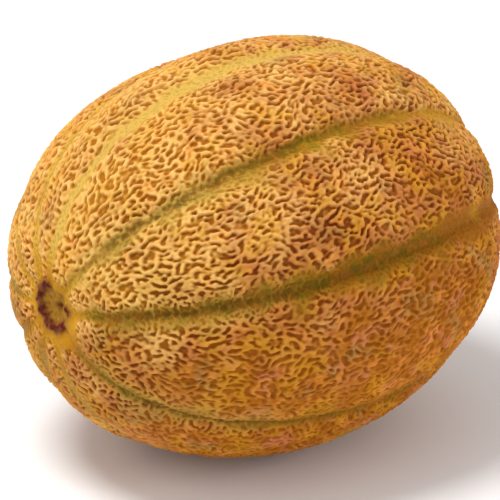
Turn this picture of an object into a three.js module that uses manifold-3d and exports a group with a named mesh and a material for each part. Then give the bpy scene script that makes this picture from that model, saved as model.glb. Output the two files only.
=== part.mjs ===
// A whole ripe cantaloupe melon, lying on its side.
//
// The fruit grew as one piece, so it is one solid. Its long axis is X, with the stem end at -X and the
// blossom end at +X. +Z is up. The origin is under the middle of the fruit, on the surface it lies on.
// Ten furrows, called sutures here, run from the stem scar to the blossom scar and part the ten ribs.
// Lengths are in millimetres.

import * as THREE from "three";
import { mergeVertices } from "three/addons/utils/BufferGeometryUtils.js";
import Module from "manifold-3d";

// Overall size over the netted rind.
const LENGTH = 180; // stem end to blossom end
const WIDTH = 150; // side to side
const HEIGHT = 147; // crown to underside, before the ground spot is flattened

// The long section. A sine to a power below 1 makes the ends blunt, as a barrel's are.
const END_BLUNTNESS = 0.82;
const BLOSSOM_FULLNESS = 0.015; // how much wider the blossom half is than the stem half

// The sutures. angle is in degrees about the long axis: 0 is towards +Y and 90 is the crown. sway is how
// far the suture wanders to each side on its way along the fruit, in degrees. depth is its narrow furrow's.
const SUTURES = [
  { angle: 28, sway: 1.0, depth: 1.8 },
  { angle: 60, sway: 0.5, depth: 1.5 },
  { angle: 86, sway: -0.5, depth: 1.5 },
  { angle: 123, sway: 1.5, depth: 2.4 },
  { angle: 164, sway: 2.0, depth: 2.9 },
  { angle: 218, sway: -1.5, depth: 2.2 },
  { angle: 257, sway: 1.0, depth: 1.8 },
  { angle: 290, sway: -1.0, depth: 2.3 },
  { angle: 323, sway: 1.2, depth: 1.7 },
  { angle: 356, sway: -1.4, depth: 2.1 },
];
const FURROW_WIDTH = 14; // from bank to bank, at the widest part of the fruit
// A furrow loses a share of its depth at the stem end, and has it back after the reach, in radians.
const STEM_FADE = { share: 0.6, reach: 1.3 };
const RIB_CROWN = 1.7; // how far the middle of a rib stands over its banks

// Both ends are dished: the stem end where the stalk slipped off, the blossom end at its small scar.
const STEM_DISH = { radius: 15, depth: 2.6 };
const BLOSSOM_DISH = { radius: 11, depth: 1.6 };

// The underside is pressed flat where the fruit lay on the ground.
const GROUND_SPOT_DEPTH = 1.4;

// Facets. The columns are closest in the furrows and the rows are closest at the two ends.
const COLUMNS_PER_RIB = 9;
const ROWS = 34;
const END_CROWDING = 0.34; // 0 spaces the rows evenly; it stays below 0.5

const RIND_COLOUR = 0xd9a052;

const RIBS = SUTURES.length;
const DEGREE = Math.PI / 180;
const FULL_TURN = 2 * Math.PI;

// The angle of suture number i, where the fruit's section is t radians on from the stem end.
function sutureAngle(i, t) {
  const { angle, sway } = SUTURES[i % RIBS];
  return (angle + sway * Math.sin(2 * t)) * DEGREE + Math.floor(i / RIBS) * FULL_TURN;
}

// A plain round section's radius, as a share of the widest one.
function girth(t) {
  return Math.sin(t) ** END_BLUNTNESS * (1 - BLOSSOM_FULLNESS * Math.cos(t));
}

// How far a furrow takes the rind down at a distance round the fruit from its suture.
function furrow(depth, reach) {
  return depth * Math.exp(-((reach / (FURROW_WIDTH / 2)) ** 2) * 2);
}

// A furrow's share of its full depth, t radians on from the stem end.
function depthShare(t) {
  return 1 - STEM_FADE.share * Math.exp(-((t / STEM_FADE.reach) ** 2) * 2);
}

// How far the rind lies below its full round, in millimetres at the widest part, t radians on from the stem
// end and before and after millimetres round the fruit from the sutures on the two sides.
function hollow(rib, t, before, after) {
  const banks = (RIB_CROWN * (1 + Math.cos((FULL_TURN * before) / (before + after)))) / 2;
  const one = furrow(SUTURES[rib].depth, before);
  const other = furrow(SUTURES[(rib + 1) % RIBS].depth, after);
  return banks + (one + other) * depthShare(t);
}

function dish(radius, { radius: reach, depth }) {
  return depth * Math.exp(-((radius / reach) ** 2) * 2);
}

// The rind's point in row s (0 at the stem end, 1 at the blossom end) and column u (0 to 1, round once).
function rindPoint(s, u) {
  const t = Math.PI * s - END_CROWDING * Math.sin(FULL_TURN * s);
  const rib = Math.min(Math.floor(u * RIBS), RIBS - 1);
  const across = u * RIBS - rib;
  const crowded = across - Math.sin(FULL_TURN * across) / (2 * FULL_TURN);
  const from = sutureAngle(rib, t);
  const to = sutureAngle(rib + 1, t);
  const angle = from + (to - from) * crowded;

  const widest = (WIDTH + HEIGHT) / 4;
  const below = hollow(rib, t, (angle - from) * widest, (to - angle) * widest);
  const share = girth(t) * (1 - below / widest);
  const inwards = dish(share * widest, STEM_DISH) * Math.max(0, Math.cos(t));
  const backwards = dish(share * widest, BLOSSOM_DISH) * Math.max(0, -Math.cos(t));
  return new THREE.Vector3(
    -(LENGTH / 2) * Math.cos(t) + inwards - backwards,
    (WIDTH / 2) * share * Math.cos(angle),
    (HEIGHT / 2) * share * Math.sin(angle),
  );
}

// A ball's rows and columns, moved onto the rind. Its box is then brought to the overall size.
function rindGeometry() {
  const ball = new THREE.SphereGeometry(1, RIBS * COLUMNS_PER_RIB, ROWS);
  const { position, uv } = ball.attributes;
  for (let i = 0; i < position.count; i++) {
    const row = Math.round((1 - uv.getY(i)) * ROWS);
    const column = row === 0 || row === ROWS ? 0 : (1 - uv.getX(i)) % 1;
    const p = rindPoint(row / ROWS, column);
    position.setXYZ(i, p.x, p.y, p.z);
  }
  ball.computeBoundingBox();
  const box = ball.boundingBox.getSize(new THREE.Vector3());
  ball.scale(LENGTH / box.x, WIDTH / box.y, HEIGHT / box.z);
  return ball;
}

// The ground spot lies in the plane z = 0, and the origin is under the middle of the box.
function seat(geometry) {
  geometry.computeBoundingBox();
  const { min, max } = geometry.boundingBox;
  const lift = -min.z - GROUND_SPOT_DEPTH;
  return geometry.translate(-(min.x + max.x) / 2, -(min.y + max.y) / 2, lift);
}

const wasm = await Module();
wasm.setup();

function toSolid(geometry) {
  const bare = geometry.clone();
  bare.deleteAttribute("normal");
  bare.deleteAttribute("uv");
  const merged = mergeVertices(bare, 1e-4);
  return new wasm.Manifold(
    new wasm.Mesh({
      numProp: 3,
      vertProperties: merged.attributes.position.array,
      triVerts: new Uint32Array(merged.index.array),
    }),
  );
}

function toGeometry(solid) {
  const { vertProperties, triVerts } = solid.getMesh();
  const geometry = new THREE.BufferGeometry();
  geometry.setAttribute("position", new THREE.BufferAttribute(vertProperties, 3));
  geometry.setIndex(new THREE.BufferAttribute(triVerts, 1));
  geometry.computeVertexNormals();
  return geometry;
}

// A block whose top face is the plane z = 0, longer and wider than the fruit.
function groundBlock() {
  const depth = HEIGHT / 2;
  return new THREE.BoxGeometry(2 * LENGTH, 2 * WIDTH, depth).translate(0, 0, -depth / 2);
}

const whole = toSolid(seat(rindGeometry()));
const fruit = whole.subtract(toSolid(groundBlock()));

const melon = new THREE.Mesh(
  toGeometry(fruit),
  new THREE.MeshStandardMaterial({ color: RIND_COLOUR, roughness: 0.6, metalness: 0 }),
);
melon.name = "melon";

const group = new THREE.Group();
group.add(melon);

export default group;
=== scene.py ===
# A whole ripe cantaloupe melon, lying on its side, on a plain pale floor.
#
# The rind is one closed skin, worked out at every point from its shape, its ten sutures, its net and its two
# scars. The long axis is X, with the stem end at -X. Lengths are in metres and +Z is up.

import math
from typing import NamedTuple

import bpy
import numpy as np
from bpy.props import FloatProperty, FloatVectorProperty, IntProperty, PointerProperty
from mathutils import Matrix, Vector
from mathutils.kdtree import KDTree


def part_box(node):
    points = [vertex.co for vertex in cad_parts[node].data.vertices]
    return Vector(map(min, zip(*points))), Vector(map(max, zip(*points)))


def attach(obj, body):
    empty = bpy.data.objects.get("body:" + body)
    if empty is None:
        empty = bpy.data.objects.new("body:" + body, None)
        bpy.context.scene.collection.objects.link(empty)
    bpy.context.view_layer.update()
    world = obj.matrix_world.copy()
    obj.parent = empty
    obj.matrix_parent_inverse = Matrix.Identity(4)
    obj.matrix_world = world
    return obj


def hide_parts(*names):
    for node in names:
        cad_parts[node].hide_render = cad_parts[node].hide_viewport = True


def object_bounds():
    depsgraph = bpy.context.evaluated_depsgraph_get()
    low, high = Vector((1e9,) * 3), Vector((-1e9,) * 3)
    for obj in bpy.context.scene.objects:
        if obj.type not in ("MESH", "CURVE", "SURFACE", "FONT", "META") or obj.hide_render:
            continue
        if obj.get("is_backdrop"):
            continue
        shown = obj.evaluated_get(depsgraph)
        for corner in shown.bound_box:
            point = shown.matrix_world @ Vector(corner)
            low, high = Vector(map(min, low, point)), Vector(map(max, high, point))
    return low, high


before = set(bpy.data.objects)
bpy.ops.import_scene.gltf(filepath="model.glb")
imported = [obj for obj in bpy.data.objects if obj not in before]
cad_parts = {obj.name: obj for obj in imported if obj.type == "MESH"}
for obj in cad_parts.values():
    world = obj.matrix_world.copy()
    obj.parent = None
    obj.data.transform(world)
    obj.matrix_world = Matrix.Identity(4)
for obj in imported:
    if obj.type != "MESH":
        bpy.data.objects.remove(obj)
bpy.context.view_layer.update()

bl_info = {
    "name": "Netted melon",
    "version": (1, 0, 0),
    "blender": (4, 5, 0),
    "location": "3D View > Sidebar > Melon",
    "description": "Grows the rind of a whole netted melon and sets it on a studio floor",
    "category": "Object",
}

MM = 0.001
DEGREE = math.pi / 180


# ---------------------------------------------------------------------------------------------------------
# The fruit's plain shape, as the CAD model has it
# ---------------------------------------------------------------------------------------------------------


class Suture(NamedTuple):
    """A furrow from the stem scar to the blossom scar."""

    angle: float  # degrees about the long axis: 0 is towards +Y and 90 is the crown
    sway: float  # degrees that it wanders to each side
    depth: float  # of its narrow furrow
    bare: float  # half the width that the net leaves bare
    lean: float  # above 0 the bare skin is wider on the side of the larger angles
    green: float  # how dark and green its skin stayed, 0 to 1
    pale: float  # how pale the skin on its banks is, 0 to 1
    feather: float  # how far the net's slits turn to point at it, 0 to 1
    crease: float  # depth of the fine crease along its bottom


SUTURES = (
    Suture(28, 1.0, 1.8 * MM, 2.0 * MM, 0.0, 0.15, 0.3, 0.3, 0.2 * MM),
    Suture(60, 0.5, 1.5 * MM, 1.9 * MM, 0.0, 0.10, 0.5, 0.1, 0.2 * MM),
    Suture(86, -0.5, 1.5 * MM, 2.4 * MM, 0.1, 0.00, 0.9, 0.1, 0.2 * MM),
    Suture(123, 1.5, 2.4 * MM, 2.6 * MM, 0.5, 0.85, 0.9, 0.2, 1.3 * MM),
    Suture(164, 2.0, 2.9 * MM, 3.5 * MM, 0.1, 1.00, 0.3, 0.6, 0.9 * MM),
    Suture(218, -1.5, 2.2 * MM, 2.8 * MM, -0.4, 0.95, 0.5, 0.5, 0.9 * MM),
    Suture(257, 1.0, 1.8 * MM, 2.2 * MM, 0.2, 0.15, 0.5, 0.3, 0.3 * MM),
    Suture(290, -1.0, 2.3 * MM, 2.6 * MM, 0.0, 0.55, 0.5, 0.5, 0.5 * MM),
    Suture(323, 1.2, 1.7 * MM, 2.2 * MM, -0.3, 0.35, 0.2, 0.2, 0.3 * MM),
    Suture(356, -1.4, 2.1 * MM, 2.6 * MM, 0.3, 0.60, 0.5, 0.6, 0.4 * MM),
)
SUTURE_FACTS = {name: np.array([getattr(one, name) for one in SUTURES]) for name in Suture._fields}


class Dish(NamedTuple):
    """The shallow hollow round a scar."""

    radius: float
    depth: float


END_BLUNTNESS = 0.82  # power of the long section's sine: below 1 the ends are blunt
BLOSSOM_FULLNESS = 0.015  # how much wider the blossom half is than the stem half
FURROW_WIDTH = 14 * MM  # from bank to bank, at the widest part of the fruit
STEM_FADE_SHARE = 0.6  # share of its depth that a furrow loses at the stem end
STEM_FADE_REACH = 1.3  # radians on from the stem end where it has the depth back
RIB_CROWN = 1.7 * MM  # how far the middle of a rib stands over its banks
STEM_DISH = Dish(15 * MM, 2.6 * MM)
BLOSSOM_DISH = Dish(11 * MM, 1.6 * MM)
GROUND_SPOT_DEPTH = 1.4 * MM  # how far the underside is pressed flat

cad_low, cad_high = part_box("melon")
LENGTH, WIDTH, HEIGHT = cad_high - cad_low
FULL_HEIGHT = HEIGHT + GROUND_SPOT_DEPTH
WIDEST_RADIUS = (WIDTH + FULL_HEIGHT) / 4

CHART_GUTTER = 0.012  # bare margin round each chart, as a share of its side
SECTION_SAMPLES = 4001  # points along the long section, from which its length is worked out

# The size of each drift's patches, and its own seed, so that no two drifts move together.
DRIFTS = {
    "cell area": (10 * MM, 5),
    "wide bend": (3.5 * MM, 11),
    "fine bend": (1.3 * MM, 12),
    "bare width": (8 * MM, 21),
    "crease line": (7 * MM, 22),
    "stray cords": (4 * MM, 24),
    "cord height": (5 * MM, 31),
    "cord width": (3 * MM, 32),
    "ripeness": (14 * MM, 41),
    "youth": (12 * MM, 42),
    "stem scar radius": (4 * MM, 61),
    "ring lumps": (1.5 * MM, 62),
    "disc spokes": (3 * MM, 63),
    "stem clearing": (9 * MM, 64),
    "blossom scar radius": (3 * MM, 71),
}


def bell(distance, reach):
    """1 at no distance, and nearly 0 at the reach."""
    return np.exp(-2 * (distance / reach) ** 2)


def rise(value, start, end):
    """0 before start, 1 after end, and a smooth S between them."""
    share = np.clip((value - start) / (end - start), 0, 1)
    return share * share * (3 - 2 * share)


def drift(points, size, seed):
    """A smooth random value at each point, mostly within 1 of zero, that changes over the given size."""
    wave_count = 28
    rng = np.random.default_rng(seed)
    heading = rng.normal(size=(wave_count, 3))
    heading /= np.linalg.norm(heading, axis=1, keepdims=True)
    pace = math.tau / (2 * size) * rng.uniform(0.5, 1.5, (wave_count, 1))
    start = rng.uniform(0, math.tau, wave_count)
    waves = np.cos(points @ (heading * pace).T + start)
    return waves.sum(axis=1) * math.sqrt(2 / wave_count)


def push(points, size, seed):
    """A smooth random push in each of the three directions."""
    return np.stack([drift(points, size, 3 * seed + k) for k in range(3)], axis=1)


class Ball(NamedTuple):
    """A ball of quads, made from a cube with the same grid on each side."""

    directions: np.ndarray
    quads: np.ndarray
    chart: np.ndarray  # a place on a flat sheet for each corner of each quad


def cube_ball(side):
    """A ball with side times side quads on each of the cube's six faces."""
    tick = np.arange(side + 1)
    across, up = np.meshgrid(tick, tick, indexing="ij")
    lattice, charts = [], []
    for axis in range(3):
        for end in (0, side):
            face = np.empty((side + 1, side + 1, 3), np.int64)
            face[..., axis] = end
            face[..., (axis + 1) % 3] = across if end else up
            face[..., (axis + 2) % 3] = up if end else across
            lattice.append(face)
            inset = [CHART_GUTTER + (1 - 2 * CHART_GUTTER) * t / side for t in (across, up)]
            charts.append(np.stack([(axis + inset[0]) / 3, ((end > 0) + inset[1]) / 2], axis=-1))
    lattice = np.stack(lattice)
    charts = np.stack(charts)
    code = (lattice[..., 0] * (side + 1) + lattice[..., 1]) * (side + 1) + lattice[..., 2]
    _, first, number = np.unique(code, return_index=True, return_inverse=True)
    number = number.reshape(code.shape)
    directions = np.tan((2 * lattice.reshape(-1, 3)[first] / side - 1) * math.pi / 4)
    directions /= np.linalg.norm(directions, axis=1, keepdims=True)

    def corners(grid):
        """What the four corners of each square of a face's grid have."""
        return np.stack([grid[:, :-1, :-1], grid[:, 1:, :-1], grid[:, 1:, 1:], grid[:, :-1, 1:]], axis=3)

    quads = corners(number).reshape(-1, 4)
    return Ball(directions, quads, corners(charts).reshape(-1, 2))


def girth(t):
    """A round section's radius as a share of the widest one, t radians on from the stem end."""
    return np.sin(t) ** END_BLUNTNESS * (1 - BLOSSOM_FULLNESS * np.cos(t))


def even_stations(latitude):
    """The section for each latitude from the stem end, so that equal steps are equal lengths on the rind."""
    t = np.linspace(0, math.pi, SECTION_SAMPLES)
    x, radius = -LENGTH / 2 * np.cos(t), WIDTH / 2 * girth(t)
    run = np.concatenate([[0], np.cumsum(np.hypot(np.diff(x), np.diff(radius)))])
    return np.interp(latitude, run / run[-1] * math.pi, t)


class Rind(NamedTuple):
    """The plain rind's points, and where each one lies on the fruit."""

    points: np.ndarray
    station: np.ndarray  # radians on from the stem end
    angle: np.ndarray  # radians about the long axis
    reach: np.ndarray  # distance out from the long axis
    nearer: np.ndarray  # number of the nearer suture
    side: np.ndarray  # 1 on that suture's side of the larger angles, and -1 on the other
    edge: np.ndarray  # distance round the fruit to that suture


def suture_gaps(t, angle):
    """The sutures on the two sides of each point, and how far off they are round the widest section."""
    course = (SUTURE_FACTS["angle"] + SUTURE_FACTS["sway"] * np.sin(2 * t)[:, None]) * DEGREE
    past = (angle[:, None] - course) % math.tau
    to_go = math.tau - past
    before, after = past.min(axis=1) * WIDEST_RADIUS, to_go.min(axis=1) * WIDEST_RADIUS
    return past.argmin(axis=1), to_go.argmin(axis=1), before, after


def seat(points):
    """Brings the fruit to its overall size, with the ground spot's plane at z = 0."""
    spans = points.max(axis=0) - points.min(axis=0)
    points *= np.array([LENGTH, WIDTH, FULL_HEIGHT]) / spans
    middle = (points.max(axis=0) + points.min(axis=0)) / 2
    middle[2] = points[:, 2].min() + GROUND_SPOT_DEPTH
    points -= middle


def plain_rind(directions):
    """Moves a ball's points onto the fruit's plain shape, without its net."""
    t = even_stations(np.arccos(np.clip(-directions[:, 0], -1, 1)))
    angle = np.arctan2(directions[:, 2], directions[:, 1])
    behind, ahead, before, after = suture_gaps(t, angle)
    furrows = SUTURE_FACTS["depth"][behind] * bell(before, FURROW_WIDTH / 2)
    furrows += SUTURE_FACTS["depth"][ahead] * bell(after, FURROW_WIDTH / 2)
    furrows *= 1 - STEM_FADE_SHARE * bell(t, STEM_FADE_REACH)
    hollow = RIB_CROWN * (1 + np.cos(math.tau * before / (before + after))) / 2 + furrows
    share = girth(t) * (1 - hollow / WIDEST_RADIUS)
    reach = share * WIDEST_RADIUS

    x = -LENGTH / 2 * np.cos(t)
    x += STEM_DISH.depth * bell(reach, STEM_DISH.radius) * np.maximum(0, np.cos(t))
    x -= BLOSSOM_DISH.depth * bell(reach, BLOSSOM_DISH.radius) * np.maximum(0, -np.cos(t))
    y = WIDTH / 2 * share * np.cos(angle)
    z = FULL_HEIGHT / 2 * share * np.sin(angle)
    points = np.stack([x, y, z], axis=1)
    seat(points)

    slim = np.sin(t) ** END_BLUNTNESS
    before, after = before * slim, after * slim
    nearer = np.where(before < after, behind, ahead)
    side = np.where(before < after, 1, -1)
    return Rind(points, t, angle, reach, nearer, side, np.minimum(before, after))


# ---------------------------------------------------------------------------------------------------------
# Working on the skin's mesh
# ---------------------------------------------------------------------------------------------------------


def normals_and_areas(points, quads):
    """Each vertex's outward unit normal, and the area that it stands for."""
    normals = np.zeros_like(points)
    corner = points[quads]
    facing = np.cross(corner[:, 2] - corner[:, 0], corner[:, 3] - corner[:, 1])
    for k in range(4):
        for c in range(3):
            normals[:, c] += np.bincount(quads[:, k], weights=facing[:, c], minlength=len(points))
    size = np.linalg.norm(normals, axis=1)
    return normals / size[:, None], size / 8


def neighbour_table(quads, count):
    """The eight vertices round each vertex. A cube's corner has fewer, and its own number fills the rest."""
    ends = [quads[:, [a, b]] for a in range(4) for b in range(4) if a != b]
    ends = np.concatenate(ends)
    code = np.unique(ends[:, 0] * count + ends[:, 1])
    start, end = code // count, code % count
    place = np.arange(len(start)) - np.searchsorted(start, np.arange(count))[start]
    table = np.tile(np.arange(count)[:, None], (1, 8))
    table[start, place] = end
    return table


class Blur:
    """Spreads a value over the skin, further along each point's grain than across it."""

    STEP_SHARE = 0.52  # how far one step spreads it across the grain, as a share of the mesh's pitch

    def __init__(self, points, table, along, across, stretch):
        step = points[table] - points[:, None]
        length = np.linalg.norm(step, axis=2)
        narrow = self.STEP_SHARE * np.median(length[length > 0])
        s = np.einsum("vkc,vc->vk", step, along) / (narrow * stretch[:, None])
        c = np.einsum("vkc,vc->vk", step, across) / narrow
        weight = np.exp(-(s * s + c * c) / 2)
        weight[length == 0] = 0
        whole = 1 + weight.sum(axis=1, keepdims=True)
        self.table = table
        self.weight = (weight / whole).astype(np.float32)
        self.own = (1 / whole[:, 0]).astype(np.float32)
        spread = (self.weight * (c * narrow) ** 2).sum(axis=1)
        self.step_variance = np.median(spread)

    def __call__(self, value, width):
        """value blurred so that its spread across the grain is width."""
        for _ in range(max(1, round(width**2 / self.step_variance))):
            value = self.own * value + np.einsum("vk,vk->v", self.weight, value[self.table])
        return value


# ---------------------------------------------------------------------------------------------------------
# The net
# ---------------------------------------------------------------------------------------------------------


SLIT_TURN = 17 * DEGREE  # how far the slits turn from the fruit's long way
SLIT_TURN_PATCH = 9 * MM  # size of the patches that turn one way
FEATHER_REACH = (4.5 * MM, 9 * MM)  # from a suture, between which its slits cease to point at it
LONG_SLIT_REACH = (14 * MM, 34 * MM)  # from the long axis, between which the slits grow to their length
BANK_FINENESS = 0.6  # how much smaller the cells are on the palest bank
FINE_BANK_REACH = (3 * MM, 10 * MM)  # from a suture, between which they grow to their size
END_CELL_SHARE = 0.5  # a cell's area by a scar, as a share of its area in the middle of a rib
CELL_AREA_SPREAD = 0.3
SETTLING = 0.6  # how far each cell's middle moves to the middle of what is nearest to it
SETTLING_STRIDE = 3  # one in so many points is enough to settle the cells
NEAREST_CELLS = 10  # how many cells are tried for each point
CELL_SWELL = 0.5 * MM  # how far a large cell pushes its walls out
WALL_DICE = 65537  # how many numbers the walls draw from
WALL_FACTORS = (7919, 104729)  # primes that spread the two cells' numbers over the draws
WIDE_BEND = 0.55 * MM  # how far the walls wander from the straight line
FINE_BEND = 0.3 * MM
CORD_FLANK = 1.15  # reach of a cord's flank, as a share of its width
FAINT_CORD = (0.35, 0.3)  # width and height of a faint cord, as shares of a full one's
CORD_WIDTHS = (0.8, 0.5)  # the least share of the width, and how much the widest cord adds to it
CORD_HEIGHTS = (0.75, 0.5)  # the same for the height
CORD_SOFTNESS = 0.22 * MM  # blur of the cords before they grow
SLIT_LEVEL = 0.9  # how far below the middle level a slit then lies
GROWTH_PITCH = 0.88  # spacing of the grown cords, as a share of the cell size
NEAR_SPREAD = 0.15  # reach of what feeds a cord, as a share of that spacing
FAR_SPREAD = 0.26  # reach of what starves it
GROWTH_HOLD = 0.45  # how much of itself a cord keeps in one round
GROWTH_GAIN = 3.4  # how strongly it is fed and starved
GRIT = 0.22  # random lumps in what feeds it
GRIT_GAIN = 3  # how much larger the lumps are made once they are blurred
GRIT_SIZE = 0.3 * MM
GROWN_SOFTNESS = 0.2 * MM  # blur of the grown cords
CREST_REACH = 0.65 * MM  # how wide the surroundings are that a crest stands out from
BODY_SHARE = 0.35  # how much the cords' plain height counts
CREST_SHARE = 1.4  # how much their crests count
PORE_SIZE = 0.36 * MM
PORE_SPACING = 0.55 * MM


def search_tree(places):
    """A tree that finds the nearest of the places."""
    tree = KDTree(len(places))
    for number, place in enumerate(places.tolist()):
        tree.insert(place, number)
    tree.balance()
    return tree


def scatter_cells(points, share, cell_area, seed):
    """Middles for the net's cells, scattered by the area that each cell has there and then spaced out."""
    rng = np.random.default_rng(seed)
    wanted = share / cell_area
    middles = points[rng.choice(len(points), round(wanted.sum()), replace=False, p=wanted / wanted.sum())]
    few, few_weight = points[::SETTLING_STRIDE], wanted[::SETTLING_STRIDE]
    tree = search_tree(middles)
    nearest = np.array([tree.find(place)[1] for place in few.tolist()])
    mass = np.bincount(nearest, few_weight, len(middles)) + 1e-9
    pull = np.stack([np.bincount(nearest, few_weight * few[:, c], len(middles)) for c in range(3)], axis=1)
    return middles + SETTLING * (pull / mass[:, None] - middles)


def cell_walls(points, middles, along, across, stretch, seed):
    """How far each point is inside its cell, and a number from 0 to 1 for the wall that is nearest to it."""
    tree = search_tree(middles)
    close = np.array([[hit[1] for hit in tree.find_n(place, NEAREST_CELLS)] for place in points.tolist()])
    offset = points[:, None] - middles[close]
    s = np.einsum("vkc,vc->vk", offset, along) / np.sqrt(stretch)[:, None]
    c = np.einsum("vkc,vc->vk", offset, across) * np.sqrt(stretch)[:, None]
    rng = np.random.default_rng(seed)
    swell = rng.normal(0, CELL_SWELL, len(middles))
    distance = np.sqrt(s * s + c * c) + swell[close]
    order = distance.argsort(axis=1)[:, :2]
    row = np.arange(len(points))
    first, second = close[row, order[:, 0]], close[row, order[:, 1]]
    inside = distance[row, order[:, 1]] - distance[row, order[:, 0]]
    dice = rng.random(WALL_DICE)
    number = np.minimum(first, second) * WALL_FACTORS[0] + np.maximum(first, second) * WALL_FACTORS[1]
    return inside, dice[number % len(dice)]


def slit_grain(points, normals, seed):
    """Unit vectors along and across the net's slits, which mostly run the fruit's long way."""
    long_way = np.array([1.0, 0, 0]) - normals * normals[:, :1]
    long_way /= np.linalg.norm(long_way, axis=1, keepdims=True) + 1e-12
    side_way = np.cross(normals, long_way)
    turn = SLIT_TURN * drift(points, SLIT_TURN_PATCH, seed)[:, None]
    along = long_way * np.cos(turn) + side_way * np.sin(turn)
    return along, np.cross(normals, along)


def cell_shapes(rind, net):
    """Each cell's length over its width, below 1 where the slits point at a suture, and its area."""
    feathered = SUTURE_FACTS["feather"][rind.nearer] * (1 - rise(rind.edge, *FEATHER_REACH))
    ends = rise(rind.reach, *LONG_SLIT_REACH)
    stretch = net.slit_ratio ** (ends * (1 - 2 * feathered))
    fine = 1 - BANK_FINENESS * SUTURE_FACTS["pale"][rind.nearer] * (1 - rise(rind.edge, *FINE_BANK_REACH))
    varied = np.exp(CELL_AREA_SPREAD * drift(rind.points, *DRIFTS["cell area"]))
    area = net.cell_size**2 * fine * (END_CELL_SHARE + (1 - END_CELL_SHARE) * ends) * varied
    return stretch, area


def first_cords(inside, wall, net):
    """A cord along each wall between two cells, with the wall's own width and height."""
    faint = wall < net.gaps
    width = np.where(faint, FAINT_CORD[0], CORD_WIDTHS[0] + CORD_WIDTHS[1] * wall)
    width = width * net.cord_width * CORD_FLANK
    height = np.where(faint, FAINT_CORD[1], CORD_HEIGHTS[0] + CORD_HEIGHTS[1] * wall)
    cords = np.exp(-((inside / width) ** 2)) * height
    return cords.astype(np.float32)


def even_out(cords, blur, net, rng):
    """The cords after some rounds of growth, which feed what is near a cord and starve what is far off."""
    value = 2 * blur(cords, CORD_SOFTNESS) - SLIT_LEVEL
    pitch = GROWTH_PITCH * net.cell_size
    grit = blur(GRIT * rng.normal(size=len(value)).astype(np.float32), GRIT_SIZE) * GRIT_GAIN
    for _ in range(net.rounds):
        near = blur(value + grit, NEAR_SPREAD * pitch)
        far = blur(near, FAR_SPREAD * pitch)
        value = np.tanh(GROWTH_HOLD * value + GROWTH_GAIN * (near - far) + net.fullness)
    return blur(value, GROWN_SOFTNESS)


def grow_net(rind, share, normals, table, net):
    """The net at each point, low in a slit and high on a cord, and the bare skin's pores, from -1 to 1."""
    points = rind.points
    along, across = slit_grain(points, normals, net.seed)
    stretch, cell_area = cell_shapes(rind, net)
    middles = scatter_cells(points, share, cell_area, net.seed)
    bent = points + WIDE_BEND * push(points, *DRIFTS["wide bend"])
    bent = bent + FINE_BEND * push(points, *DRIFTS["fine bend"])
    inside, wall = cell_walls(bent, middles, along, across, stretch, net.seed + 1)

    blur = Blur(points, table, along, across, np.sqrt(stretch))
    rng = np.random.default_rng(net.seed + 2)
    value = even_out(first_cords(inside, wall, net), blur, net, rng)
    crest = value - blur(value, CREST_REACH)
    pores = blur(rng.normal(size=len(points)).astype(np.float32), PORE_SIZE)
    pores -= blur(pores, PORE_SPACING)
    return BODY_SHARE * value + CREST_SHARE * crest, np.clip(pores / pores.std() / 2, -1, 1)


# ---------------------------------------------------------------------------------------------------------
# The two scars
# ---------------------------------------------------------------------------------------------------------


class RingGap(NamedTuple):
    """A stretch where the stem scar's ring of cork is broken."""

    middle: float  # degrees round the scar
    half_width: float  # degrees
    depth: float  # share of the cork that is missing


SCAR_WOBBLE = 0.4 * MM  # how far a scar is out of round
STEM_SCAR_RADIUS = 8.2 * MM
STEM_SCAR_OFFSET = 1.2 * MM  # how far its middle lies over the middle of the fruit's height
RING_REACH = 2.9 * MM  # from the ring's middle to its edge
RING_GAPS = (RingGap(119, 36, 0.95), RingGap(199, 15, 0.7))
GAP_FADE = 8  # degrees to each side of a gap's edge in which the cork comes back
STEM_DISC_SLOPE = 1.8 * MM  # width of the slope from the ring down to the disc
SPOKES = 13  # faint ridges across the disc
SPOKE_BEND = 1.5  # how far they bend, in radians of their own wave
SPOKE_START = (1.5 * MM, 4 * MM)  # from the middle, between which they rise
PIT_REACH = 1.9 * MM
VESSELS = 9  # small holes in a circle round the pit
VESSEL_CIRCLE = 4.6 * MM
VESSEL_REACH = 1.3 * MM
VESSEL_START = 0.8  # how far round the circle starts, in radians of the holes' own wave
VESSEL_SIZE = (0.55, 0.95)  # on that wave, between which a hole's edge and its middle lie
STEM_CLEARING = 10.4 * MM  # from the scar's middle, where the net can start
CLEARING_WOBBLE = 1.6 * MM
CLEARING_TONGUE = 250 * DEGREE  # way round the scar in which the clear skin reaches furthest

BLOSSOM_SCAR_RADIUS = 3.9 * MM
BLOSSOM_RIM_REACH = 1.6 * MM
BLOSSOM_DISC_SLOPE = 1.2 * MM
BLOSSOM_POINT_REACH = 1.4 * MM
BLOSSOM_CLEARING = (4.5 * MM, 7 * MM)


class EndMarks(NamedTuple):
    """What a scar does to the skin round it."""

    lift: np.ndarray  # how far it stands over the plain rind
    cork: np.ndarray  # dark cork, 0 to 1
    disc: np.ndarray  # the inside of the scar, 0 to 1
    clear: np.ndarray  # 1 where the net can grow


def broken_ring(off_ring, clock):
    """The stem scar's ring of cork, 0 to 1, with its gaps."""
    ring = bell(off_ring, RING_REACH)
    for gap in RING_GAPS:
        off = np.abs((clock - gap.middle * DEGREE + math.pi) % math.tau - math.pi) / DEGREE
        ring *= 1 - gap.depth * (1 - rise(off, gap.half_width - GAP_FADE, gap.half_width + GAP_FADE))
    return ring


def stem_clearing(ends, reach, clock):
    """The skin round the stem scar that has no net. It reaches furthest on the scar's lower side."""
    start = STEM_CLEARING + CLEARING_WOBBLE * drift(ends, *DRIFTS["stem clearing"])
    below = rise(np.cos(clock - CLEARING_TONGUE), 0.2, 1)
    return rise(reach, start + 1 * MM * below, start + (3 * MM + 5 * MM * below))


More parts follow.
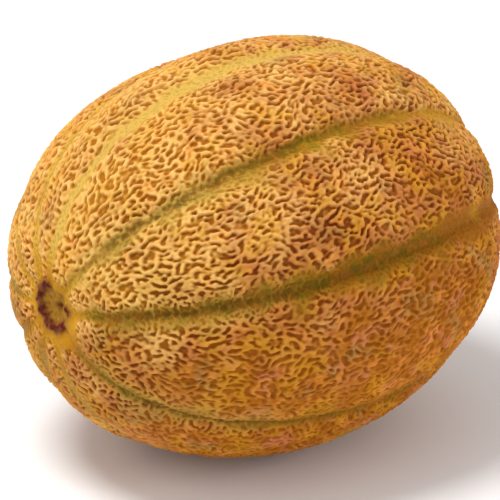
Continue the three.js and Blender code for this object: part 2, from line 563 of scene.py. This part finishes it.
def stem_scar(rind):
    """The ring of cork where the stalk slipped off, and the sunken disc inside it."""
    ends = rind.points
    at_stem = rind.station < math.pi / 2
    from_middle = ends[:, 1:] - np.array([0, HEIGHT / 2 + STEM_SCAR_OFFSET])
    reach, clock = np.linalg.norm(from_middle, axis=1), np.arctan2(from_middle[:, 1], from_middle[:, 0])
    radius = STEM_SCAR_RADIUS + SCAR_WOBBLE * drift(ends, *DRIFTS["stem scar radius"])
    ring = broken_ring(reach - radius, clock)
    lumps = 0.5 + 0.5 * np.clip(drift(ends, *DRIFTS["ring lumps"]), -1, 1)
    disc = 1 - rise(reach, radius - STEM_DISC_SLOPE, radius)
    spokes = np.cos(SPOKES * clock + SPOKE_BEND * drift(ends, *DRIFTS["disc spokes"]))
    spokes = spokes * rise(reach, *SPOKE_START)
    pit = bell(reach, PIT_REACH)
    holes = rise(np.cos(VESSELS * clock + VESSEL_START), *VESSEL_SIZE)
    vessels = bell(reach - VESSEL_CIRCLE, VESSEL_REACH) * holes

    # What each part adds to the relief, in millimetres, and to the dark cork.
    lift = MM * (ring * (0.5 + 0.7 * lumps) - 0.9 * disc + 0.12 * spokes * disc - 0.9 * pit - 0.4 * vessels)
    cork = np.clip(ring * (1.05 + 0.3 * lumps) + 0.9 * pit + 0.35 * vessels + 0.15 * disc * lumps, 0, 1)
    clear = np.where(at_stem, stem_clearing(ends, reach, clock), 1)
    return EndMarks(lift * at_stem, cork * at_stem, disc * at_stem, clear)


def blossom_scar(rind):
    """The small corky button where the flower dropped off."""
    at_blossom = rind.station > math.pi / 2
    radius = BLOSSOM_SCAR_RADIUS + SCAR_WOBBLE * drift(rind.points, *DRIFTS["blossom scar radius"])
    rim = bell(rind.reach - radius, BLOSSOM_RIM_REACH)
    disc = 1 - rise(rind.reach, radius - BLOSSOM_DISC_SLOPE, radius)
    point = bell(rind.reach, BLOSSOM_POINT_REACH)
    lift = MM * (0.5 * rim - 0.4 * disc + 0.7 * point)
    cork = 0.55 * rim + 0.3 * disc + 0.35 * point
    clear = np.where(at_blossom, rise(rind.reach, *BLOSSOM_CLEARING), 1)
    return EndMarks(lift * at_blossom, cork * at_blossom, disc * at_blossom, clear)


# ---------------------------------------------------------------------------------------------------------
# The whole skin
# ---------------------------------------------------------------------------------------------------------

BARE_WOBBLE = 0.25  # how much the bare band's width varies
CREASE_WANDER = 0.5 * MM  # how far the crease wanders from its suture
CREASE_REACH = 3.6 * MM
# how far to each side of the crease its painted shade reaches
SEAM_SHADE_REACH = 2.6 * MM
PORE_RELIEF = 0.1 * MM  # depth of the pores on bare skin
SKIN_LEVEL = 0.6  # the height on a cord, as a share of it, that lies on the plain rind
GROUND_REACH = 6 * MM  # how far up from the floor the net is worn
GROUND_WEAR = 0.5  # how much of it is worn away on the floor
RIPEST = 1.5
LOWER_FLANK = 192 * DEGREE  # the angle about the long axis where the fruit is ripest
LOWER_FLANK_REACH = 42 * DEGREE
UPPER_FLANK = 146 * DEGREE  # the angle where its young skin is creamiest
UPPER_FLANK_REACH = 45 * DEGREE


def bare_band(rind, near):
    """Half the width of the bare skin along each suture. It narrows at both ends of the fruit."""
    along = 0.6 + 0.5 * rise(rind.station, 0.3, 1.6) - 0.4 * rise(rind.station, 2.1, 2.9)
    bare = near["bare"] * (1 + rind.side * near["lean"]) * along
    return bare * (1 + BARE_WOBBLE * drift(rind.points, *DRIFTS["bare width"]))


def cord_field(rind, net, pores, bare, open_skin):
    """0 at the bottom of a slit or on bare skin, and 1 on a cord's crest."""
    stray = 0.35 * rise(drift(rind.points, *DRIFTS["stray cords"]), -0.2, 0.9)
    covered = np.maximum(rise(rind.edge, 0, 1.4 * bare), stray) * open_skin
    cord = 0.52 + 0.46 * (net - 1.2 * (1 - covered)) + 0.06 * drift(rind.points, *DRIFTS["cord width"])
    return np.clip(cord + 0.07 * pores, 0, 1)


def ripeness(rind):
    """How ripe the rind is, from 0. It ripens towards the underside and towards the blossom half."""
    points = rind.points
    ripe = 0.95 + 6 * points[:, 0] - 10 * (points[:, 2] - HEIGHT / 2)
    ripe = ripe + 0.12 * drift(points, *DRIFTS["ripeness"])
    ripe += 0.2 * rise(rind.station, 0.7, 1.3) - 0.7 * rise(rind.station, 1.9, 2.6)
    lower = bell(rind.angle % math.tau - LOWER_FLANK, LOWER_FLANK_REACH)
    lower = lower * rise(rind.reach, 16 * MM, 32 * MM)
    ripe += lower * (0.55 - 0.4 * rise(rind.station, 0.8, 1.4))
    return np.clip(ripe, 0, RIPEST)


def youth(rind):
    """How young the skin still is, 0 to 1: most by the stem, high on the side first seen."""
    by_stem = rise(-rind.points[:, 0], 0.22 * LENGTH, 0.48 * LENGTH)
    cream = 0.3 + 0.7 * bell(rind.angle % math.tau - UPPER_FLANK, UPPER_FLANK_REACH)
    return by_stem * cream * (0.75 + 0.25 * drift(rind.points, *DRIFTS["youth"]))


def furrow_marks(rind, near, bare, crease_line):
    """The painted shade along each suture's crease, the green skin and the pale banks of each suture. They
    fade towards the two ends.
    """
    seam_shade = rise(rind.station, 0.3, 0.65) * (1 - rise(rind.station, 0.9, 2.15))
    greening = 1 - 0.9 * rise(rind.station, 1.5, 2.5)
    paling = 1 - near["green"] * rise(rind.station, 0.9, 1.4)
    return {
        "seam_shade": (0.1 + 0.9 * near["green"]) * seam_shade * bell(crease_line, SEAM_SHADE_REACH),
        "green": near["green"] * greening * bell(rind.edge, 2.6 * bare) * rise(rind.reach, 12 * MM, 28 * MM),
        "pale": near["pale"] * bell(rind.edge, 3.6 * bare) * paling * rise(rind.reach, 12 * MM, 30 * MM),
    }


def grow_skin(settings):
    """The finished skin's points, quads and flat charts, and a dictionary of its marks."""
    ball = cube_ball(settings.side)
    rind = plain_rind(ball.directions)
    points, quads = rind.points, ball.quads
    normals, share = normals_and_areas(points, quads)
    table = neighbour_table(quads, len(points))
    net, pores = grow_net(rind, share, normals, table, settings)
    stem, blossom = stem_scar(rind), blossom_scar(rind)

    near = {name: values[rind.nearer] for name, values in SUTURE_FACTS.items()}
    bare = bare_band(rind, near)
    open_skin = stem.clear * blossom.clear
    cord = cord_field(rind, net, pores, bare, open_skin)
    netted = rise(rind.edge, 0.4 * bare, 2.7 * bare) * open_skin
    crease_line = rind.edge + CREASE_WANDER * drift(points, *DRIFTS["crease line"])
    ground = 1 - rise(points[:, 2], 0, GROUND_REACH)

    tall = (0.3 + 0.7 * netted) * (0.88 + 0.12 * drift(points, *DRIFTS["cord height"]))
    lift = settings.cord_height * tall * (cord - SKIN_LEVEL)
    lift = lift + PORE_RELIEF * (1 - netted) * open_skin * pores
    lift -= near["crease"] * bell(crease_line, CREASE_REACH) * (1 - 0.7 * rise(rind.station, 1.5, 2.5))
    lift *= 1 - GROUND_WEAR * ground
    lift += stem.lift + blossom.lift
    finished = points + normals * lift[:, None]
    finished[:, 2] = np.maximum(finished[:, 2], 0)

    marks = {
        "cord": cord,
        "netted": netted,
        "pore": pores * (0.3 + 0.7 * open_skin),
        **furrow_marks(rind, near, bare, crease_line),
        "young": youth(rind),
        "ripe": ripeness(rind),
        "ground": ground,
        "scar": np.clip(stem.cork + blossom.cork, 0, 1),
        "disc": stem.disc + blossom.disc,
    }
    return finished, quads, ball.chart, marks


def skin_mesh(name, points, quads, chart, marks):
    """A mesh of the skin, with its charts and with each mark as an attribute that the finish reads."""
    mesh = bpy.data.meshes.new(name)
    mesh.vertices.add(len(points))
    mesh.vertices.foreach_set("co", points.astype(np.float32).ravel())
    mesh.loops.add(quads.size)
    mesh.loops.foreach_set("vertex_index", quads.astype(np.int32).ravel())
    mesh.polygons.add(len(quads))
    mesh.polygons.foreach_set("loop_start", np.arange(0, quads.size, 4, dtype=np.int32))
    mesh.polygons.foreach_set("use_smooth", np.ones(len(quads), bool))
    mesh.update(calc_edges=True)
    layer = mesh.uv_layers.new(name="OFBake")
    layer.uv.foreach_set("vector", chart.astype(np.float32).ravel())
    for mark, value in marks.items():
        mesh.attributes.new(mark, "FLOAT", "POINT").data.foreach_set("value", value.astype(np.float32))
    return mesh


# ---------------------------------------------------------------------------------------------------------
# The rind's finish
# ---------------------------------------------------------------------------------------------------------


def paint(red, green, blue):
    """A screen colour, 0 to 255, as the scene's linear colour."""
    shares = [value / 255 for value in (red, green, blue)]
    return tuple(v / 12.92 if v <= 0.04045 else ((v + 0.055) / 1.055) ** 2.4 for v in shares)


class Finish:
    """A short way to write a material's nodes."""

    # The colour sockets of a Mix node, whose names are shared with its other kinds of socket.
    MIX_FIRST, MIX_SECOND, MIX_RESULT = 6, 7, 2

    def __init__(self, name):
        self.material = bpy.data.materials.new(name)
        self.material.use_nodes = True
        self.nodes = self.material.node_tree.nodes
        self.links = self.material.node_tree.links
        self.shader = self.nodes["Principled BSDF"]

    def feed(self, socket, value):
        """Links the socket to another one, or gives it a colour or a number."""
        if isinstance(value, bpy.types.NodeSocket):
            self.links.new(value, socket)
        elif hasattr(value, "__len__"):
            socket.default_value = (*value, 1.0)[: len(socket.default_value)]
        else:
            socket.default_value = value

    def mark(self, name):
        """One of the skin's marks."""
        node = self.nodes.new("ShaderNodeAttribute")
        node.attribute_name = name
        return node.outputs["Fac"]

    def place(self):
        """The point's own place on the object."""
        return self.nodes.new("ShaderNodeTexCoord").outputs["Object"]

    def noise(self, size, detail=2.0, roughness=0.5):
        """Cloudy noise from 0 to 1, with lumps of about the given size."""
        node = self.nodes.new("ShaderNodeTexNoise")
        self.feed(node.inputs["Vector"], self.place())
        node.inputs["Scale"].default_value = 1 / size
        node.inputs["Detail"].default_value = detail
        node.inputs["Roughness"].default_value = roughness
        return node.outputs["Fac"]

    def spread(self, value, start, end, low=0.0, high=1.0):
        """low where the value is at the start, high at the end, and a smooth S between them."""
        node = self.nodes.new("ShaderNodeMapRange")
        node.interpolation_type = "SMOOTHSTEP"
        self.feed(node.inputs["Value"], value)
        for name, number in zip(("From Min", "From Max", "To Min", "To Max"), (start, end, low, high)):
            node.inputs[name].default_value = number
        return node.outputs["Result"]

    def math(self, operation, first, second):
        """A sum of two values, as the operation's name says."""
        node = self.nodes.new("ShaderNodeMath")
        node.operation = operation
        self.feed(node.inputs[0], first)
        self.feed(node.inputs[1], second)
        return node.outputs["Value"]

    def mix(self, share, first, second):
        """The first colour where the share is 0, and the second where it is 1."""
        node = self.nodes.new("ShaderNodeMix")
        node.data_type = "RGBA"
        self.feed(node.inputs["Factor"], share)
        self.feed(node.inputs[self.MIX_FIRST], first)
        self.feed(node.inputs[self.MIX_SECOND], second)
        return node.outputs[self.MIX_RESULT]

    def bump(self, height, depth, strength):
        """Fine relief, too small for the mesh."""
        node = self.nodes.new("ShaderNodeBump")
        self.feed(node.inputs["Height"], height)
        node.inputs["Distance"].default_value = depth
        node.inputs["Strength"].default_value = strength
        self.links.new(node.outputs["Normal"], self.shader.inputs["Normal"])


def skin_colour(finish, colours, ripeness, green):
    """Smooth waxy skin, yellow to orange, green and rust in the furrows and pale on their banks."""
    young, pale = finish.mark("young"), finish.mark("pale")
    skin = finish.mix(ripeness, colours.skin_yellow, colours.skin_orange)
    skin = finish.mix(finish.math("MULTIPLY", young, 0.6), skin, colours.cork_olive)
    skin = finish.mix(pale, skin, colours.bank_olive)
    mossy = finish.spread(finish.noise(7 * MM, 2), 0.4, 0.6)
    furrow = finish.mix(mossy, colours.furrow_rust, colours.furrow_green)
    skin = finish.mix(green, skin, furrow)
    pits = finish.spread(finish.mark("pore"), 0.1, -0.9, 0.0, 0.35)
    return finish.mix(pits, skin, colours.furrow_green)


def low_colour(finish, colours, ripeness, skin):
    """What lies below the cords: brown slits darkened with painted shade, the furrows' seams darkened with
    painted crease shade, the scar's disc and the ground spot.
    """
    # Painted shade: the slit colours are the skin's own brown made darker to stand for the shade deep in the
    # slits. Where the rind is ripest, towards its underside, the slits are painted lighter.
    slit = finish.mix(ripeness, colours.shaded_slit_tan, colours.shaded_slit_brown)
    slit = finish.mix(finish.spread(finish.mark("ripe"), 0.8, 1.3, 0.0, 0.8), slit, colours.skin_orange)
    low = finish.mix(finish.spread(finish.mark("netted"), 0, 1, 0.0, 0.9), skin, slit)
    broken = finish.spread(finish.noise(3.5 * MM, 3), 0.36, 0.6, 0.5, 1.0)
    # Painted shade: a dark olive line along the crease at the bottom of a furrow, over the furrow's own
    # olive skin, broken in patches.
    low = finish.mix(finish.math("MULTIPLY", finish.mark("seam_shade"), broken), low, colours.seam_shade_olive)
    low = finish.mix(finish.mark("disc"), low, colours.scar_disc)
    return finish.mix(finish.math("MULTIPLY", finish.mark("ground"), 0.6), low, colours.bank_olive)


def cork_colour(finish, colours, ripeness, green):
    """Dry corky cords: cream to tan and rust with ripeness, in patches, with a painted highlight on their
    crests.
    """
    ripe, netted, young = (finish.mark(name) for name in ("ripe", "netted", "young"))
    cork = finish.mix(ripeness, colours.cork_cream, colours.cork_tan)
    cork = finish.mix(finish.spread(ripeness, 0.75, 1.3), cork, colours.cork_rust)
    speck = finish.spread(finish.noise(1.2 * MM, 2), 0.3, 0.7, 0.0, 0.3)
    cork = finish.mix(speck, cork, colours.skin_orange)
    blush = finish.spread(finish.noise(9 * MM, 2), 0.5, 0.66, 0.0, 0.6)
    cork = finish.mix(finish.math("MULTIPLY", blush, ripe), cork, colours.cork_pink)
    amber = finish.spread(finish.noise(7 * MM, 2), 0.5, 0.64, 0.0, 0.55)
    cork = finish.mix(amber, cork, colours.cork_amber)
    gold = finish.spread(finish.noise(13 * MM, 2), 0.48, 0.62, 0.0, 0.4)
    cork = finish.mix(gold, cork, colours.skin_yellow)
    grey = finish.spread(finish.noise(17 * MM, 3, 0.6), 0.56, 0.68, 0.0, 0.6)
    cork = finish.mix(grey, cork, colours.cork_grey)
    cork = finish.mix(finish.math("MULTIPLY", young, 0.5), cork, colours.bank_olive)
    cork = finish.mix(green, cork, colours.cork_olive)
    cork = finish.mix(finish.math("MULTIPLY", finish.mark("pale"), 0.85), cork, colours.bank_olive)
    # Painted highlight on the cords' crests. It is weaker where the rind is ripest, towards its underside.
    crest = finish.math("MULTIPLY", finish.spread(finish.mark("cord"), 0.6, 1.0, 0.0, 0.5), netted)
    crest = finish.math("MULTIPLY", crest, finish.spread(ripeness, 0.1, 1.0, 1.0, 0.15))
    return finish.mix(crest, cork, colours.painted_crest_highlight)


def rind_finish(colours):
    """The rind's colour by its marks, with dry cords, waxy skin between them and a fine grain on both."""
    finish = Finish("netted_rind")
    blotch = finish.spread(finish.noise(4 * MM, 4, 0.65), 0.35, 0.65, 0.6, 1.1)
    green = finish.math("MULTIPLY", finish.mark("green"), blotch)
    patch = finish.spread(finish.noise(18 * MM, 3), 0.3, 0.7, -0.3, 0.3)
    ripeness = finish.math("ADD", finish.mark("ripe"), patch)

    skin = skin_colour(finish, colours, ripeness, green)
    low = low_colour(finish, colours, ripeness, skin)
    cork = cork_colour(finish, colours, ripeness, green)
    cork = finish.mix(finish.spread(finish.mark("netted"), 0, 0.8, 0.4, 1.0), skin, cork)
    # Up a cord's flank the slits' painted shade gives way to the cork's own colour.
    cord = finish.spread(finish.mark("cord"), 0.1, 0.75)
    colour = finish.mix(cord, low, cork)
    # Painted glints: lighter pink spots on the stem scar's dark cork, where the ring would catch the light.
    scar_glints = finish.spread(finish.noise(2.4 * MM, 2), 0.48, 0.66, 0.0, 0.28)
    scar = finish.mix(scar_glints, colours.scar_cork, colours.cork_pink)
    finish.feed(finish.shader.inputs["Base Color"], finish.mix(finish.mark("scar"), colour, scar))

    grain = finish.noise(0.35 * MM, 3, 0.6)
    rough = finish.math("ADD", finish.spread(cord, 0, 1, 0.5, 0.78), finish.spread(grain, 0.3, 0.7, 0, 0.12))
    finish.feed(finish.shader.inputs["Roughness"], rough)
    finish.shader.inputs["Specular IOR Level"].default_value = 0.08
    finish.bump(grain, 0.06 * MM, 0.5)
    return finish.material


# ---------------------------------------------------------------------------------------------------------
# The settings, and the step that grows the rind
# ---------------------------------------------------------------------------------------------------------


def colour(name, description, red, green, blue):
    """A setting for a colour, whose default is a screen colour."""
    default = paint(red, green, blue)
    return FloatVectorProperty(
        name=name, description=description, default=default, min=0, max=1, subtype="COLOR"
    )


def length(name, description, default, least, most):
    """A setting for a length."""
    return FloatProperty(
        name=name, description=description, default=default, min=least, max=most,
        subtype="DISTANCE", unit="LENGTH", precision=4,
    )


class MelonRindSettings(bpy.types.PropertyGroup):
    """Sizes of the net."""

    side: IntProperty(
        name="Quads per side", description="Quads along each side of the six that the skin is made from",
        default=420, min=40, max=600,
    )
    cell_size: length(
        "Cell size", "Side of a square with the area of one cell of the net", 2.75 * MM, 1.5 * MM, 8 * MM
    )
    slit_ratio: FloatProperty(
        name="Slit ratio", description="Length of a cell over its width, in the middle of a rib",
        default=2.7, min=1, max=5,
    )
    cord_width: length("Cord width", "Width of one cord of the net", 1.1 * MM, 0.5 * MM, 3 * MM)
    cord_height: length("Cord height", "How far a cord stands over the skin", 1.5 * MM, 0, 3 * MM)
    gaps: FloatProperty(
        name="Gaps", description="Share of the walls between cells that have hardly any cord",
        default=0.07, min=0, max=0.6, subtype="FACTOR",
    )
    fullness: FloatProperty(
        name="Fullness", description="Above 0 the cords grow at the cost of the cells",
        default=0.12, min=-0.5, max=0.8,
    )
    rounds: IntProperty(
        name="Rounds of growth", description="How often the cords are evened out",
        default=1, min=0, max=12,
    )
    seed: IntProperty(name="Seed", description="Another number grows another net", default=7, min=0)


class MelonColours(bpy.types.PropertyGroup):
    """Colours of the rind."""

    skin_yellow: colour("Yellow skin", "Skin between the cords where it is palest", 208, 150, 16)
    skin_orange: colour("Orange skin", "Skin between the cords where it is ripest", 160, 92, 8)
    furrow_green: colour("Green furrow", "The greenest furrows, and the pores of bare skin", 106, 88, 4)
    furrow_rust: colour("Rusty furrow", "Blotches along the bottom of the greenest furrow", 140, 88, 14)
    # Painted shade: the two slit colours are darker than the skin so that the slits' bottoms look shaded.
    shaded_slit_tan: colour("Pale slit", "Skin in the net's slits where it is palest", 168, 102, 16)
    shaded_slit_brown: colour("Brown slit", "Skin in the net's slits where it is ripest", 120, 50, 5)
    # Painted shade of the crease along the bottom of a furrow, over the furrow's own olive.
    seam_shade_olive: colour("Olive seam", "The broken line along the bottom of a furrow", 98, 66, 4)
    cork_grey: colour("Grey cork", "Cords where they are weathered grey", 158, 122, 66)
    cork_cream: colour("Pale cork", "Cords where they are palest", 226, 176, 96)
    # Painted highlight: the paler tops of the cords.
    painted_crest_highlight: colour("Cord crest", "The worn tops of the cords", 248, 196, 116)
    cork_amber: colour("Amber cork", "Cords in the orange patches", 216, 136, 54)
    cork_tan: colour("Tan cork", "Cords where they are brownest", 186, 114, 60)
    bank_olive: colour("Olive bank", "The palest banks of the furrows, and the ground spot", 212, 174, 84)
    cork_rust: colour("Rust cork", "Cords low on the ripest side", 170, 98, 18)
    # The pink also paints glints on the scar's cork.
    cork_pink: colour("Pink cork", "Cords with a pink blush, and faded spots in a scar's cork", 192, 114, 72)
    cork_olive: colour("Olive cork", "Cords in the greenest furrow, and the youngest skin", 146, 110, 22)
    scar_cork: colour("Scar cork", "The dark ring of cork round the stem scar", 88, 30, 14)
    scar_disc: colour("Scar disc", "The pale disc inside the stem scar", 166, 120, 32)


class MELON_OT_rind(bpy.types.Operator):
    """Grow the netted rind over the CAD fruit"""

    bl_idname = "melon.rind"
    bl_label = "Grow the rind"

    def execute(self, context):
        scene = context.scene
        mesh = skin_mesh("melon_rind", *grow_skin(scene.melon_rind))
        rind = bpy.data.objects.new("melon_rind", mesh)
        scene.collection.objects.link(rind)
        mesh.materials.append(rind_finish(scene.melon_colours))
        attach(rind, "root")
        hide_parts("melon")
        return {"FINISHED"}


# ---------------------------------------------------------------------------------------------------------
# The stage
# ---------------------------------------------------------------------------------------------------------


def view_axes(azimuth, elevation):
    """Unit vectors to the right, up and back towards the camera."""
    a, e = azimuth * DEGREE, elevation * DEGREE
    back = Vector((math.sin(a) * math.cos(e), -math.cos(a) * math.cos(e), math.sin(e)))
    right = Vector((math.cos(a), math.sin(a), 0))
    return right, back.cross(right), back


class Softbox(NamedTuple):
    """A round soft light, placed by the directions of the view."""

    name: str
    right: float
    up: float
    back: float
    distance: float  # metres that the three above are multiplied by
    size: float
    power: float  # watts


VIEW_AZIMUTH, VIEW_ELEVATION = -36.6, 25.3  # degrees
VIEW_DISTANCE = 3.0
FRAME_WIDTH = 180.5 * MM  # what the picture takes in at the fruit
AIM_LEFT, AIM_DOWN = 1.75 * MM, 1.4 * MM  # from the fruit's middle to the middle of the picture
SENSOR_WIDTH = 36  # millimetres, as Blender has it
FLOOR_REACH = 6.0
FLOOR_SHADE = 0.95
WORLD_STRENGTH = 0.55
SOFTBOXES = (
    Softbox("key", -0.32, 0.82, 0.48, 1.4, 0.6, 15),
    Softbox("side", 0.92, 0.1, 0.4, 1.6, 1.0, 7),
    Softbox("front", -0.7, 0.3, 0.65, 1.8, 1.2, 3.5),
)


def add_floor(scene):
    """A plain pale floor."""
    mesh = bpy.data.meshes.new("floor")
    corners = [(x * FLOOR_REACH, y * FLOOR_REACH, 0) for x, y in ((-1, -1), (1, -1), (1, 1), (-1, 1))]
    mesh.from_pydata(corners, [], [(0, 1, 2, 3)])
    finish = Finish("pale_floor")
    finish.shader.inputs["Base Color"].default_value = (FLOOR_SHADE, FLOOR_SHADE, FLOOR_SHADE, 1)
    finish.shader.inputs["Roughness"].default_value = 0.9
    mesh.materials.append(finish.material)
    floor = bpy.data.objects.new("floor", mesh)
    scene.collection.objects.link(floor)
    floor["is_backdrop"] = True


def add_world(scene):
    """Even white light from all round."""
    world = bpy.data.worlds.new("studio")
    world.use_nodes = True
    background = world.node_tree.nodes["Background"]
    background.inputs["Color"].default_value = (1, 1, 1, 1)
    background.inputs["Strength"].default_value = WORLD_STRENGTH
    scene.world = world
    scene.view_settings.view_transform = "Standard"


def add_softbox(scene, softbox, middle, axes):
    """One of the soft lights, turned to the middle of the fruit."""
    right, up, back = axes
    light = bpy.data.lights.new(softbox.name, "AREA")
    light.shape = "DISK"
    light.size = softbox.size
    light.energy = softbox.power
    way = softbox.right * right + softbox.up * up + softbox.back * back
    lamp = bpy.data.objects.new(softbox.name, light)
    lamp.location = middle + way * softbox.distance
    lamp.rotation_euler = (middle - lamp.location).to_track_quat("-Z", "Y").to_euler()
    scene.collection.objects.link(lamp)


def add_camera(scene, middle, axes):
    """A long lens a few metres off, which takes in the whole fruit."""
    right, up, back = axes
    camera = bpy.data.cameras.new("camera")
    camera.sensor_width = SENSOR_WIDTH
    camera.lens = camera.sensor_width * VIEW_DISTANCE / FRAME_WIDTH
    camera.clip_start, camera.clip_end = 0.1, 30
    eye = bpy.data.objects.new("camera", camera)
    aim = middle - AIM_LEFT * right - AIM_DOWN * up
    eye.location = aim + back * VIEW_DISTANCE
    eye.rotation_euler = back.to_track_quat("Z", "Y").to_euler()
    scene.collection.objects.link(eye)
    scene.camera = eye


class MELON_OT_stage(bpy.types.Operator):
    """Set the floor, the lights and the camera"""

    bl_idname = "melon.stage"
    bl_label = "Set the stage"

    def execute(self, context):
        scene = context.scene
        low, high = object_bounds()
        middle = (low + high) / 2
        axes = view_axes(VIEW_AZIMUTH, VIEW_ELEVATION)
        add_floor(scene)
        add_world(scene)
        for softbox in SOFTBOXES:
            add_softbox(scene, softbox, middle, axes)
        add_camera(scene, middle, axes)
        return {"FINISHED"}


# ---------------------------------------------------------------------------------------------------------
# The panel, and the steps in their order
# ---------------------------------------------------------------------------------------------------------


class MELON_PT_sidebar(bpy.types.Panel):
    """The melon's settings and steps"""

    bl_idname = "MELON_PT_sidebar"
    bl_label = "Netted melon"
    bl_space_type = "VIEW_3D"
    bl_region_type = "UI"
    bl_category = "Melon"

    def draw(self, context):
        for group in (context.scene.melon_rind, context.scene.melon_colours):
            for name in group.__annotations__:
                self.layout.prop(group, name)
        self.layout.operator("melon.rind")
        self.layout.operator("melon.stage")


CLASSES = (MelonRindSettings, MelonColours, MELON_OT_rind, MELON_OT_stage, MELON_PT_sidebar)


def register():
    """Makes the settings, the steps and the panel known to Blender."""
    for one in CLASSES:
        bpy.utils.register_class(one)
    bpy.types.Scene.melon_rind = PointerProperty(type=MelonRindSettings)
    bpy.types.Scene.melon_colours = PointerProperty(type=MelonColours)


def unregister():
    """Takes them away again."""
    del bpy.types.Scene.melon_colours
    del bpy.types.Scene.melon_rind
    for one in reversed(CLASSES):
        bpy.utils.unregister_class(one)


def main():
    """Grows the fruit on its stage."""
    register()
    bpy.ops.melon.rind()
    bpy.ops.melon.stage()


if __name__ == "__main__":
    main()
